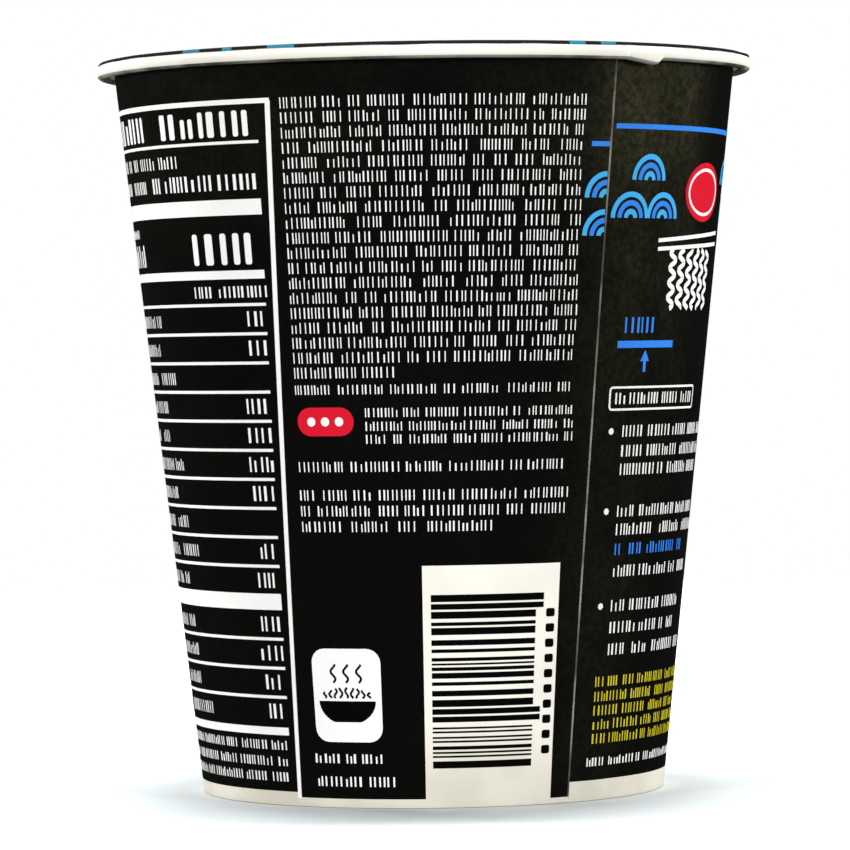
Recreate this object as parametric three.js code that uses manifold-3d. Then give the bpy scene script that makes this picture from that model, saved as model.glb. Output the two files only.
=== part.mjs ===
// Instant noodle cup, shut: a tapered paper cup with a rolled rim and a lapped seam, under a sealed peel lid.
// Millimetres, +Z up. The origin is the centre of the foot ring on the table. The back panel faces -Y, and
// angles round the cup are counted from -Y towards +X, as a lathe turned upright counts them.
import * as THREE from "three";
import { mergeVertices } from "three/addons/utils/BufferGeometryUtils.js";
import Module from "manifold-3d";

// Driving dimensions
const RIM_RADIUS = 48; // outside of the rolled rim
const HEIGHT = 106.7; // table to the top of the lid
const FOOT_RADIUS = 33.7; // outside of the wall where it stands
const WALL_TAPER = 0.1105; // radius that the wall gains for each millimetre of height
const BOARD = 0.45; // thickness of the cup's paper board

// Rolled rim
const ROLL_HEIGHT = 2.1;
const ROLL_ARC_STEPS = 8;
const RIM_FLAT_INSIDE = 44.4; // inner edge of the flat that the lid is sealed to

// Lapped seam, where one end of the board lies over the other
const SEAM_ANGLE = 36.4; // degrees, the edge of the upper end where it meets the rim
const SEAM_LEAN = 2.6; // degrees that the edge falls back by, from the rim to the foot
const LAP_ANGLE = 6.5; // degrees, how far the upper end reaches over the lower one
const LAP_FADE = 9; // degrees, over which the upper end comes back down to the wall
const RIM_SWELL = 0.36; // growth of the roll's section where it is rolled double
const RIM_SWELL_END = 1.4; // degrees, over which the swelling stops at the end of the lap
const EDGE_STEP = 0.25; // degrees that the cut edge of the board takes

// Foot: the wall is turned in round the bottom disc, which sits above the table
const FOOT_RING = 2.2; // width of the ring that stands on the table
const FOOT_ROUND = 0.35;
const RECESS_DEPTH = 6;

// Peel lid
const LID_THICKNESS = 0.3;
const LID_RADIUS = 47.6;
const LID_GAP = 0.15; // clearance to the rim
const LID_LIP_WIDTH = 0.8; // outer margin that turns down over the roll
const LID_LIP_DROP = 0.15;
const LID_SINK = 0.7; // how far the middle lies below the sealed ring
const LID_SINK_WIDTH = 1.6;

// Pull tab of the lid
const TAB_ANGLE = 225; // degrees, on the far side from the table of figures
const TAB_WIDTH = 17;
const TAB_REACH = 9.5; // beyond the lid's edge
const TAB_ROOT = 2; // overlap with the sealed ring of the lid
const TAB_DROOP = 18; // degrees below level
const TAB_ROUND_STEPS = 7;

// Roundness of the solids
const WALL_STATIONS = 4;
const SEGMENTS_LAP = 8;
const SEGMENTS_SWELL_END = 2;
const SEGMENTS_FADE = 4;
const SEGMENTS_REST = 84;
const SEGMENTS_LID = 96;
const WELD = 1e-4; // corners closer than this are one

// Sizes that follow
const ROLL_RADIUS = ROLL_HEIGHT / 2;
const LID_BOTTOM = HEIGHT - LID_THICKNESS;
const RIM_TOP = LID_BOTTOM - LID_GAP;
const ROLL_MIDDLE = RIM_TOP - ROLL_RADIUS;
const ROLL_CENTRE = RIM_RADIUS - ROLL_RADIUS;
const ROLL_BOTTOM = RIM_TOP - ROLL_HEIGHT;
const TURN = 360;

const wallRadius = (z) => FOOT_RADIUS + WALL_TAPER * z;
const clamp = THREE.MathUtils.clamp;
const radians = THREE.MathUtils.degToRad;

// Section of the cup from the middle of its underside, round the outside, to the middle of its top
function cupSection() {
  const point = (r, z) => new THREE.Vector2(r, z);
  const footInside = wallRadius(0) - FOOT_RING;
  const section = [
    point(0, RECESS_DEPTH),
    point(footInside + WALL_TAPER * RECESS_DEPTH, RECESS_DEPTH),
    point(footInside, FOOT_ROUND),
    point(footInside + FOOT_ROUND, 0),
    point(wallRadius(0) - FOOT_ROUND, 0),
  ];
  for (let i = 0; i <= WALL_STATIONS; i++) {
    const z = THREE.MathUtils.lerp(FOOT_ROUND, ROLL_BOTTOM, i / WALL_STATIONS);
    section.push(point(wallRadius(z), z));
  }
  for (let i = 0; i <= ROLL_ARC_STEPS; i++) {
    const turn = radians(-90 + (180 * i) / ROLL_ARC_STEPS);
    const out = ROLL_RADIUS * Math.cos(turn);
    const up = ROLL_RADIUS * Math.sin(turn);
    section.push(point(ROLL_CENTRE + out, ROLL_MIDDLE + up));
  }
  section.push(point(RIM_FLAT_INSIDE, RIM_TOP));
  section.push(point(RIM_FLAT_INSIDE - LID_SINK_WIDTH, RIM_TOP - LID_SINK));
  section.push(point(0, RIM_TOP - LID_SINK));
  return section;
}

// Angles of the lathe's columns, past the seam's edge: close together on the lap and at the cut edge
function columnAngles() {
  const stretches = [
    [SEGMENTS_LAP, LAP_ANGLE],
    [SEGMENTS_SWELL_END, LAP_ANGLE + RIM_SWELL_END],
    [SEGMENTS_FADE, LAP_ANGLE + LAP_FADE],
    [SEGMENTS_REST, TURN - EDGE_STEP],
    [1, TURN],
  ];
  const angles = [0];
  for (const [count, end] of stretches) {
    const start = angles.at(-1);
    for (let i = 1; i <= count; i++) angles.push(THREE.MathUtils.lerp(start, end, i / count));
  }
  return angles;
}

// Share of a board's thickness that the outside stands proud, by the angle past the seam's edge
function lapLift(angle) {
  if (angle >= TURN) return 1;
  return 1 - THREE.MathUtils.smoothstep(angle, LAP_ANGLE, LAP_ANGLE + LAP_FADE);
}

// Share of the roll's swelling: it grows along the lap and stops short at its end
function rollSwell(angle) {
  const along = clamp((angle % TURN) / LAP_ANGLE, 0, 1);
  return along * (1 - THREE.MathUtils.smoothstep(angle % TURN, LAP_ANGLE, LAP_ANGLE + RIM_SWELL_END));
}

// Angle of the seam's edge at a height
const seamAngle = (z) => SEAM_ANGLE - SEAM_LEAN * (1 - z / RIM_TOP);

// The cup: the section turned round, then raised along the lap and swollen at the roll
function cupGeometry() {
  const section = cupSection();
  const angles = columnAngles();
  const geometry = new THREE.LatheGeometry(section, angles.length - 1);
  const position = geometry.getAttribute("position");
  angles.forEach((angle, column) => {
    section.forEach((point, row) => {
      let { x: r, y: z } = point;
      const turn = radians(seamAngle(z) + (angle % TURN));
      const outside = r > wallRadius(z) - FOOT_ROUND;
      const hanging = outside && z >= ROLL_BOTTOM && z < ROLL_MIDDLE;
      if (outside) r += BOARD * lapLift(angle) * clamp((RIM_TOP - z) / ROLL_RADIUS, 0, 1);
      if (hanging) z -= RIM_SWELL * ROLL_HEIGHT * rollSwell(angle);
      position.setXYZ(column * section.length + row, r * Math.sin(turn), z, r * Math.cos(turn));
    });
  });
  return geometry.rotateX(Math.PI / 2);
}

// Section of the lid's disc: a sealed ring with a lip turned down outside it and a sunk middle inside it
function lidSection() {
  const top = [
    [0, -LID_SINK],
    [RIM_FLAT_INSIDE - LID_SINK_WIDTH, -LID_SINK],
    [RIM_FLAT_INSIDE, 0],
    [LID_RADIUS - LID_LIP_WIDTH, 0],
    [LID_RADIUS, -LID_LIP_DROP],
  ];
  const under = top.map(([r, z]) => new THREE.Vector2(r, LID_BOTTOM + z));
  const over = top.map(([r, z]) => new THREE.Vector2(r, HEIGHT + z));
  return [...under, ...over.reverse()];
}

// Pull tab: a drooping strip, seen from the side, trimmed to a tongue with a round end, seen from above
function tabSolid() {
  const droop = Math.tan(radians(TAB_DROOP)) * TAB_REACH;
  const strip = new THREE.Shape([
    new THREE.Vector2(LID_RADIUS - TAB_ROOT, LID_BOTTOM),
    new THREE.Vector2(RIM_RADIUS, LID_BOTTOM),
    new THREE.Vector2(RIM_RADIUS + TAB_REACH, LID_BOTTOM - droop),
    new THREE.Vector2(RIM_RADIUS + TAB_REACH, HEIGHT - droop),
    new THREE.Vector2(RIM_RADIUS, HEIGHT),
    new THREE.Vector2(LID_RADIUS - TAB_ROOT, HEIGHT),
  ]);
  const half = TAB_WIDTH / 2;
  const band = new THREE.ExtrudeGeometry(strip, { depth: TAB_WIDTH, bevelEnabled: false });
  band.translate(0, 0, -half).rotateX(Math.PI / 2);

  const end = LID_RADIUS + TAB_REACH;
  const tongue = new THREE.Shape();
  tongue.moveTo(LID_RADIUS - TAB_ROOT, -half);
  tongue.lineTo(end - half, -half);
  tongue.absarc(end - half, 0, half, -Math.PI / 2, Math.PI / 2, false);
  tongue.lineTo(LID_RADIUS - TAB_ROOT, half);
  const cut = { depth: HEIGHT, bevelEnabled: false, curveSegments: TAB_ROUND_STEPS * 2 };
  const prism = new THREE.ExtrudeGeometry(tongue, cut);
  prism.translate(0, 0, LID_BOTTOM - HEIGHT / 2);
  return solidOf(band).intersect(solidOf(prism));
}

const wasm = await Module();
wasm.setup();

// A closed geometry as a solid that can be joined and cut
function solidOf(geometry) {
  const bare = geometry.clone();
  bare.deleteAttribute("normal");
  bare.deleteAttribute("uv");
  const merged = mergeVertices(bare, WELD);
  const vertProperties = new Float32Array(merged.getAttribute("position").array);
  const triVerts = new Uint32Array(merged.index.array);
  return new wasm.Manifold(new wasm.Mesh({ numProp: 3, vertProperties, triVerts }));
}

// A joined or cut solid as a geometry again
function geometryOf(solid) {
  const mesh = solid.getMesh();
  const geometry = new THREE.BufferGeometry();
  geometry.setAttribute("position", new THREE.BufferAttribute(new Float32Array(mesh.vertProperties), 3));
  geometry.setIndex(new THREE.BufferAttribute(new Uint32Array(mesh.triVerts), 1));
  geometry.computeVertexNormals();
  return geometry;
}

// The lid: the disc with its tab, joined into one sheet. The tab is built along +X and turned to its place.
function lidGeometry() {
  const disc = new THREE.LatheGeometry(lidSection(), SEGMENTS_LID).rotateX(Math.PI / 2);
  const tab = geometryOf(tabSolid()).rotateZ(radians(TAB_ANGLE - 90));
  return geometryOf(solidOf(disc).add(solidOf(tab)));
}

// A plain finish of the print
function finish(name, color, roughness) {
  return new THREE.MeshStandardMaterial({ name, color, roughness });
}

const printedBoard = finish("printed_board", 0x0d0e0c, 0.42);
const lidFilm = finish("lid_film", 0x10110f, 0.3);

// A named mesh of the group
function piece(name, geometry, material) {
  const mesh = new THREE.Mesh(geometry, material);
  mesh.name = name;
  return mesh;
}

const noodleCup = new THREE.Group();
noodleCup.add(piece("cup", cupGeometry(), printedBoard));
noodleCup.add(piece("lid", lidGeometry(), lidFilm));

export default noodleCup;
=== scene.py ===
"""Looks of a shut instant noodle cup: printed paper board, rolled rim, lapped seam, peel lid and a stage."""
import math
import random

import bpy
import numpy as np
from mathutils import Euler, Matrix, Vector


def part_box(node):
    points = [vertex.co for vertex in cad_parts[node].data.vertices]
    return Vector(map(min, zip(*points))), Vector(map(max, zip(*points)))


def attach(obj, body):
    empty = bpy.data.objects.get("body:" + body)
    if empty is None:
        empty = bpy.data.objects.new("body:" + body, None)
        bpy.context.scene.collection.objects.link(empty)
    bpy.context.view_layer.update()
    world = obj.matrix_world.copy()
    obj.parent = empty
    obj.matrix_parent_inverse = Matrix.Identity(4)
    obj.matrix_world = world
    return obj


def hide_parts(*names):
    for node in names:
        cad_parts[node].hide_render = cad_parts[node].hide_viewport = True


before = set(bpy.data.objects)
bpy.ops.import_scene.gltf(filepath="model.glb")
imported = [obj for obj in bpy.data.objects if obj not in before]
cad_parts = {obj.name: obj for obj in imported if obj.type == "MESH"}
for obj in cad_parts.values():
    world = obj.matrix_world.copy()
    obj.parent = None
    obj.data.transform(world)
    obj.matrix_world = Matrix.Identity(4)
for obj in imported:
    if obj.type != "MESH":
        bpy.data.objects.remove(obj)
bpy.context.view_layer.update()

bl_info = {
    "name": "Instant noodle cup",
    "version": (1, 0, 0),
    "blender": (4, 5, 0),
    "location": "3D View > Sidebar > Noodle cup",
    "description": "Builds a shut instant noodle cup: printed board, rolled rim, peel lid and a stage",
    "category": "Object",
}

# The frame, in metres, and what follows from it. Shapes are worked out in millimetres and degrees.
CUP_LOW, CUP_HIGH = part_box("cup")
LID_LOW, LID_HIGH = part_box("lid")
BODY = "root"
MM = 0.001
TURN = 360.0
RIM_RADIUS = (CUP_HIGH[0] - CUP_LOW[0]) / 2
RIM_TOP = CUP_HIGH[2] / MM
LID_TOP = LID_HIGH[2] / MM


def length(name, description, default):
    """A size in metres that the user can change."""
    return bpy.props.FloatProperty(
        name=name, description=description, default=default, min=0.0, precision=5, unit="LENGTH"
    )


def angle(name, description, degrees):
    """An angle that the user can change, given here in degrees."""
    return bpy.props.FloatProperty(
        name=name, description=description, default=math.radians(degrees), subtype="ANGLE"
    )


def colour(name, description, default):
    """A linear colour that the user can change."""
    return bpy.props.FloatVectorProperty(
        name=name, description=description, default=default, size=3, min=0.0, max=1.0, subtype="COLOR"
    )


class NOODLECUP_PG_sizes(bpy.types.PropertyGroup):
    """Sizes of the cup and its lid"""

    rim_radius: length("Rim radius", "Outside of the rolled rim", RIM_RADIUS)
    foot_radius: length("Foot radius", "Outside of the wall where it stands", 0.0337)
    taper: bpy.props.FloatProperty(
        name="Taper", description="Radius that the wall gains for its height", default=0.1105, min=0.0
    )
    board: length("Board", "How far the lap stands proud of the wall", 0.0003)
    roll_height: length("Roll height", "Height of the rolled rim", 0.0021)
    seam_angle: angle("Seam angle", "Place of the seam's edge at the rim, from the front", 36.4)
    seam_lean: angle("Seam lean", "How far the seam's edge falls back at the foot", 2.6)
    lap_angle: angle("Lap", "How far the upper end of the board reaches over the lower one", 6.5)
    recess: length("Recess", "Height of the bottom disc above the table", 0.006)
    ink: length("Ink", "How far a printed shape stands off the board", 0.00003)
    lid_radius: length("Lid radius", "Outside of the lid's disc", 0.0476)
    lid_sheet: length("Lid sheet", "Thickness of the lid", 0.0003)
    tab_angle: angle("Tab angle", "Place of the pull tab, from the front", 225.0)


class NOODLECUP_PG_colours(bpy.types.PropertyGroup):
    """Colours of the board and of the inks"""

    black: colour("Black", "Black of the print", (0.0018, 0.0021, 0.0021))
    # Painted sheen: a lighter, warmer black that stands in for light caught by the crinkled coating; it also
    # gives the coating's scuffs.
    black_worn_sheen: colour("Worn black and sheen", "Black where the coating is crinkled", (0.0350, 0.0335, 0.0170))
    board: colour("Board", "Bare paper board", (0.860, 0.835, 0.760))
    # Near the foot this darker board is painted shade; in patches it is the board's own cloudy tone.
    board_shade: colour("Board shade", "Darker board near the foot and in patches", (0.600, 0.575, 0.480))
    # This dark board is also laid on the roll's top band and underside as painted shade.
    cut_edge_and_roll_shade: colour("Cut edge", "Raw edge of the board along the seam", (0.340, 0.340, 0.290))
    white: colour("White", "White ink", (0.880, 0.885, 0.865))
    blue: colour("Blue", "Blue ink", (0.034, 0.225, 0.780))
    sky: colour("Sky blue", "Lighter blue ink", (0.055, 0.400, 0.800))
    yellow: colour("Yellow", "Yellow ink", (0.620, 0.540, 0.015))
    red: colour("Red", "Red ink", (0.660, 0.008, 0.026))
    lid: colour("Lid", "Ground of the lid's print", (0.0040, 0.0045, 0.0040))
    lid_edge: colour("Lid edge", "Print that shows on the lid's edge", (0.030, 0.250, 0.380))


def smooth(share):
    """A soft step from 0 to 1."""
    share = np.clip(share, 0.0, 1.0)
    return share * share * (3.0 - 2.0 * share)


# Surfaces that carry print

class Wall:
    """The outside of the wall, by the angle round the cup in degrees, and height and lift in millimetres."""

    LAP_FADE = 9.0
    EDGE_STEP = 0.12

    def __init__(self, sizes):
        self.foot = sizes.foot_radius / MM
        self.taper = sizes.taper
        self.board = sizes.board / MM
        self.ink = sizes.ink / MM
        self.seam_top = math.degrees(sizes.seam_angle)
        self.seam_lean = math.degrees(sizes.seam_lean)
        self.lap = math.degrees(sizes.lap_angle)

    def cone(self, height):
        """Radius of the plain wall."""
        return self.foot + self.taper * height

    def seam(self, height):
        """Angle of the seam's edge."""
        return self.seam_top - self.seam_lean * (1.0 - height / RIM_TOP)

    def lap_lift(self, past):
        """How far the board stands proud, by the angle past the seam's edge."""
        return self.board * (1.0 - smooth((past - self.lap) / self.LAP_FADE))

    def points(self, angles, heights, lifts):
        """Points in metres."""
        angles = np.asarray(angles, float)
        heights = np.asarray(heights, float)
        past = (angles - self.seam(heights)) % TURN
        radii = self.cone(heights) + self.lap_lift(past) + lifts
        turn = np.radians(angles)
        return MM * np.column_stack((radii * np.sin(turn), -radii * np.cos(turn), heights))

    def degrees(self, width, height):
        """The angle that a width takes up at a height."""
        return math.degrees(width / self.cone(height))


class LidTop:
    """The lid's top as a flat sheet, upright from the front, in millimetres from its middle."""

    def __init__(self, height, ink):
        self.height = height
        self.ink = ink

    def points(self, across, along, lifts):
        """Points in metres."""
        return MM * np.column_stack((-np.asarray(across), -np.asarray(along), self.height + lifts))

    def degrees(self, width, height):
        """Widths on a flat sheet stay as they are."""
        return width


# Words of the print are rows of small upright bars. Their sizes are shares of a word's height or weight.
STEM_WEIGHTS = (1.0, 1.0, 1.4)
STEM_TOPS = (1.0, 1.0, 1.0, 1.0, 1.0, 0.76)
STEM_GAPS = (0.22, 0.29, 0.36, 0.44)
STEM_ROUND_FROM = 0.6
WORD_LENGTHS = (1.2, 1.9, 2.5, 3.1, 3.7, 4.3, 5.0, 5.6, 6.2)
WORD_SPACE = 0.6


# Inks of the print: the finish and the material slot of each
INKS = {
    "white": ("white_ink", "ink_white"),
    "blue": ("blue_ink", "ink_blue"),
    "sky": ("sky_ink", "ink_blue"),
    "yellow": ("yellow_ink", "ink_yellow"),
    "red": ("red_ink", "ink_red"),
    "black": ("black_ink", "printed_board"),
    "bare": ("bare_board", "bare_board"),
}


class Print:
    """Shapes of one ink, gathered as thin closed slabs on a surface."""

    SUNK = -0.02
    POINT = 0.01
    STEP = 0.7
    CORNER_STEPS = 5
    BOWL_FOOT = 0.88

    def __init__(self, surface, layer=1):
        self.surface = surface
        self.top = surface.ink * layer
        self.across = []
        self.along = []
        self.lifts = []
        self.faces = []

    def corners(self, *lines):
        """Adds the points of some lines, on top and sunk in the board, and says where each line starts."""
        starts = []
        for lift in (self.top, self.SUNK):
            for line in lines:
                starts.append(len(self.across))
                for across, along in line:
                    self.across.append(across)
                    self.along.append(along)
                    self.lifts.append(lift)
        return starts

    def strip(self, one, other):
        """A closed slab between two lines of as many points, each an (across, along) pair."""
        a, b, c, d = self.corners(one, other)
        last = len(one) - 1
        for i in range(last):
            j = i + 1
            self.faces += [
                (a + i, a + j, b + j, b + i),
                (c + i, d + i, d + j, c + j),
                (a + i, c + i, c + j, a + j),
                (b + i, b + j, d + j, d + i),
            ]
        self.faces += [(a, b, d, c), (a + last, c + last, d + last, b + last)]

    def closed(self, inner, outer):
        """A slab between two closed outlines of as many points."""
        a, b, c, d = self.corners(inner, outer)
        count = len(inner)
        for i in range(count):
            j = (i + 1) % count
            self.faces += [
                (a + i, b + i, b + j, a + j),
                (c + i, c + j, d + j, d + i),
                (a + i, a + j, c + j, c + i),
                (b + i, d + i, d + j, b + j),
            ]

    def bar(self, left, right, low, high, corner=0.0):
        """A level bar, with its corners rounded by a radius in millimetres."""
        per_mm = self.surface.degrees(1.0, (low + high) / 2)
        width = (right - left) / per_mm
        half = (high - low) / 2
        corner = min(corner, width / 2, half)
        under = []
        over = []
        for x, cut in self.stations(width, corner):
            cut = min(cut, half - self.POINT)
            under.append((left + x * per_mm, low + cut))
            over.append((left + x * per_mm, high - cut))
        self.strip(under, over)

    def stations(self, width, corner):
        """Places along a bar, each with how much of its height the corner cuts off there."""
        end = []
        if corner:
            for i in range(self.CORNER_STEPS):
                turn = math.pi / 2 * i / self.CORNER_STEPS
                end.append((corner * (1.0 - math.cos(turn)), corner * (1.0 - math.sin(turn))))
        straight = width - 2 * corner
        count = max(1, round(straight / self.STEP))
        middle = [(corner + straight * i / count, 0.0) for i in range(count + 1)]
        return end + middle + [(width - x, cut) for x, cut in reversed(end)]

    def disc(self, across, along, wide, high, steps=24):
        """A round or oval field, by half sizes in millimetres."""
        per_mm = self.surface.degrees(1.0, along)
        under = []
        over = []
        for i in range(steps + 1):
            turn = math.pi * i / steps
            x = across - wide * math.cos(turn) * per_mm
            y = high * math.sin(turn) + self.POINT
            under.append((x, along - y))
            over.append((x, along + y))
        self.strip(under, over)

    def bowl(self, across, along, wide, deep, steps=40):
        """A bowl seen from the side: level at the top, round below and cut off at its foot."""
        per_mm = self.surface.degrees(1.0, along)
        under = []
        over = []
        for i in range(steps + 1):
            turn = math.pi * i / steps
            x = across - wide * math.cos(turn) * per_mm
            under.append((x, along - deep * min(math.sin(turn), self.BOWL_FOOT) - self.POINT))
            over.append((x, along))
        self.strip(under, over)

    def line(self, path, width):
        """A line of even width along a path of (across, along) points."""
        middle = sum(along for _, along in path) / len(path)
        per_mm = self.surface.degrees(1.0, middle)
        flat = np.array([(across / per_mm, along) for across, along in path])
        ahead = np.gradient(flat, axis=0)
        ahead /= np.linalg.norm(ahead, axis=1, keepdims=True)
        side = np.column_stack((-ahead[:, 1], ahead[:, 0])) * width / 2
        self.strip(
            [(x * per_mm, y) for x, y in flat - side],
            [(x * per_mm, y) for x, y in flat + side],
        )

    def arc(self, across, along, radius, width, start=0.0, end=180.0, steps=18):
        """A line along part of a circle, by angles counted from the right."""
        per_mm = self.surface.degrees(1.0, along)
        path = []
        for i in range(steps + 1):
            turn = math.radians(start + (end - start) * i / steps)
            path.append((across + radius * math.cos(turn) * per_mm, along + radius * math.sin(turn)))
        self.line(path, width)

    def wave(self, left, right, along, swing, waves, width):
        """A level wavy line."""
        steps = round(waves * 16)
        path = []
        for i in range(steps + 1):
            share = i / steps
            path.append((left + (right - left) * share, along + swing * math.sin(math.tau * waves * share)))
        self.line(path, width)

    def strand(self, across, low, high, swing, waves, width, phase=0.0):
        """An upright wavy line, such as steam or a noodle. The swing is in millimetres."""
        per_mm = self.surface.degrees(1.0, (low + high) / 2)
        steps = round(waves * 14)
        path = []
        for i in range(steps + 1):
            share = i / steps
            sway = swing * math.sin(math.tau * waves * share + phase)
            path.append((across + sway * per_mm, low + (high - low) * share))
        self.line(path, width)

    def ring(self, left, right, low, high, width, corner):
        """An outline with round corners."""
        middle = (low + high) / 2
        per_mm = self.surface.degrees(1.0, middle)
        centre = ((left + right) / 2, middle)
        straight = ((right - left) / per_mm - 2 * corner, high - low - 2 * corner)
        inner = self.rounded(straight, corner - width, centre, per_mm)
        outer = self.rounded(straight, corner, centre, per_mm)
        self.closed(inner, outer)

    def rounded(self, straight, corner, centre, per_mm):
        """A closed outline: an arc at each corner, with points along the straight stretch that follows it."""
        wide, tall = straight
        outline = []
        turns = ((1, 1, -wide, 0), (-1, 1, 0, -tall), (-1, -1, wide, 0), (1, -1, 0, tall))
        for quarter, (side, level, run_x, run_y) in enumerate(turns):
            for i in range(self.CORNER_STEPS + 1):
                turn = math.pi / 2 * (quarter + i / self.CORNER_STEPS)
                x = side * wide / 2 + corner * math.cos(turn)
                y = level * tall / 2 + corner * math.sin(turn)
                outline.append((centre[0] + x * per_mm, centre[1] + y))
            count = max(1, round(abs(run_x + run_y) / self.STEP))
            for i in range(1, count):
                share = i / count
                outline.append((centre[0] + (x + run_x * share) * per_mm, centre[1] + y + run_y * share))
        return outline

    def word(self, left, width, low, height, weight, rng):
        """A word of the print as a row of small upright bars."""
        per_mm = self.surface.degrees(1.0, low + height / 2)
        corner = weight / 3 if weight > STEM_ROUND_FROM else 0.0
        x = 0.0
        while x + weight <= width:
            thick = min(weight * rng.choice(STEM_WEIGHTS), width - x)
            top = low + height * rng.choice(STEM_TOPS)
            self.bar(left + x * per_mm, left + (x + thick) * per_mm, low, top, corner)
            x += thick + height * rng.choice(STEM_GAPS)

    def text(self, left, right, low, height, weight, rng):
        """A line of words, spread to fill the room from left to right."""
        per_mm = self.surface.degrees(1.0, low + height / 2)
        room = (right - left) / per_mm
        words = []
        used = 0.0
        while used < room - height:
            width = min(height * rng.choice(WORD_LENGTHS), room - used)
            words.append(width)
            used += width + height * WORD_SPACE
        gap = (room - sum(words)) / max(1, len(words) - 1)
        x = 0.0
        for width in words:
            self.word(left + x * per_mm, width, low, height, weight, rng)
            x += width + gap

    def piece(self, name, ink):
        """The gathered shapes as a piece of the object, in an ink."""
        points = self.surface.points(self.across, self.along, np.array(self.lifts))
        finish, slot = INKS[ink]
        return piece(name, points, self.faces, [material(finish)])


def piece(name, points, faces, materials, face_materials=None, replaces=None, sharp=35.0):
    """A mesh object that belongs to the cup, smooth but for its edges."""
    mesh = bpy.data.meshes.new(name)
    mesh.from_pydata([tuple(p) for p in points], [], faces)
    for finish in materials:
        mesh.materials.append(finish)
    if face_materials is not None:
        mesh.polygons.foreach_set("material_index", face_materials)
    if mesh.validate():
        raise RuntimeError(f"{name} has faces that can't be used")
    mesh.shade_smooth()
    mesh.set_sharp_from_angle(angle=math.radians(sharp))
    made = bpy.data.objects.new(name, mesh)
    bpy.context.scene.collection.objects.link(made)
    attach(made, BODY)
    if replaces:
        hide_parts(replaces)
    return made


def merged(points, faces):
    """Points that fall together, as on the axis, made one."""
    index = {}
    kept = []
    move = []
    for point in points:
        key = tuple(round(value, 9) for value in point)
        if key not in index:
            index[key] = len(kept)
            kept.append(point)
        move.append(index[key])
    return kept, [tuple(move[i] for i in face) for face in faces]


# Materials

CRINKLE_DEPTH = 0.00003
FIBRE_DEPTH = 0.000012
# Name of the mesh attribute that says where the black print is painted lighter, as painted sheen and scuffs.
SCUFF_AND_SHEEN = "scuff_and_sheen"


class Nodes:
    """A small helper that adds and joins nodes of one tree."""

    def __init__(self, tree):
        self.tree = tree

    def add(self, kind, **values):
        node = self.tree.nodes.new(kind)
        for name, value in values.items():
            setattr(node, name, value)
        return node

    def join(self, source, target):
        self.tree.links.new(source, target)

    def fill(self, socket, value):
        """Links a socket to another, or sets it to a number."""
        if isinstance(value, bpy.types.NodeSocket):
            self.join(value, socket)
        else:
            socket.default_value = value

    def noise(self, vector, scale, detail, roughness=0.5, distortion=0.0):
        node = self.add("ShaderNodeTexNoise")
        self.join(vector, node.inputs["Vector"])
        self.fill(node.inputs["Scale"], scale)
        self.fill(node.inputs["Detail"], detail)
        self.fill(node.inputs["Roughness"], roughness)
        self.fill(node.inputs["Distortion"], distortion)
        return node.outputs["Fac"]

    def span(self, value, low, high, to_low=0.0, to_high=1.0):
        node = self.add("ShaderNodeMapRange", clamp=True, interpolation_type="SMOOTHSTEP")
        self.join(value, node.inputs["Value"])
        node.inputs["From Min"].default_value = low
        node.inputs["From Max"].default_value = high
        node.inputs["To Min"].default_value = to_low
        node.inputs["To Max"].default_value = to_high
        return node.outputs["Result"]

    def math(self, operation, one, other):
        node = self.add("ShaderNodeMath", operation=operation)
        self.fill(node.inputs[0], one)
        self.fill(node.inputs[1], other)
        return node.outputs[0]

    def mix(self, share, one, other):
        node = self.add("ShaderNodeMix", data_type="RGBA")
        self.join(share, node.inputs[0])
        node.inputs[6].default_value = (*one, 1.0)
        node.inputs[7].default_value = (*other, 1.0)
        return node.outputs[2]


def group(name, inputs, outputs):
    """A shader node group with named sockets: (nodes, input sockets, output sockets)."""
    tree = bpy.data.node_groups.new(name, "ShaderNodeTree")
    for label, default in inputs:
        socket = tree.interface.new_socket(name=label, in_out="INPUT", socket_type="NodeSocketFloat")
        socket.default_value = default
    for label in outputs:
        tree.interface.new_socket(name=label, in_out="OUTPUT", socket_type="NodeSocketFloat")
    nodes = Nodes(tree)
    start = nodes.add("NodeGroupInput")
    end = nodes.add("NodeGroupOutput")
    return nodes, start.outputs, end.inputs


def place_group(nodes, name):
    """A group placed in a material."""
    return nodes.add("ShaderNodeGroup", node_tree=bpy.data.node_groups[name])


def make_coating_crinkle():
    """Crinkles of the coating over the print, stronger where it is scuffed or sheened, and how they catch the
    light. The Mottle output shifts the ink's colour; on black it lightens it as painted sheen.
    """
    inputs = (("Scuff and sheen", 0.15), ("Fine", 1000.0), ("Patches", 70.0))
    nodes, given, out = group("Coating crinkle", inputs, ("Height", "Mottle", "Gloss"))
    place = nodes.add("ShaderNodeTexCoord").outputs["Object"]
    fine = nodes.noise(place, given["Fine"], 3.0, roughness=0.6, distortion=0.4)
    patch = nodes.noise(place, given["Patches"], 2.5, roughness=0.55, distortion=0.6)
    creases = nodes.span(fine, 0.36, 0.66, 0.45, 1.0)
    patches = nodes.span(patch, 0.34, 0.66, 0.5, 1.0)
    tone = nodes.math("MULTIPLY", creases, patches)
    nodes.join(nodes.math("MULTIPLY", fine, given["Scuff and sheen"]), out["Height"])
    nodes.join(nodes.math("MULTIPLY", tone, given["Scuff and sheen"]), out["Mottle"])
    nodes.join(nodes.span(patch, 0.3, 0.7, 0.34, 0.5), out["Gloss"])


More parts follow.
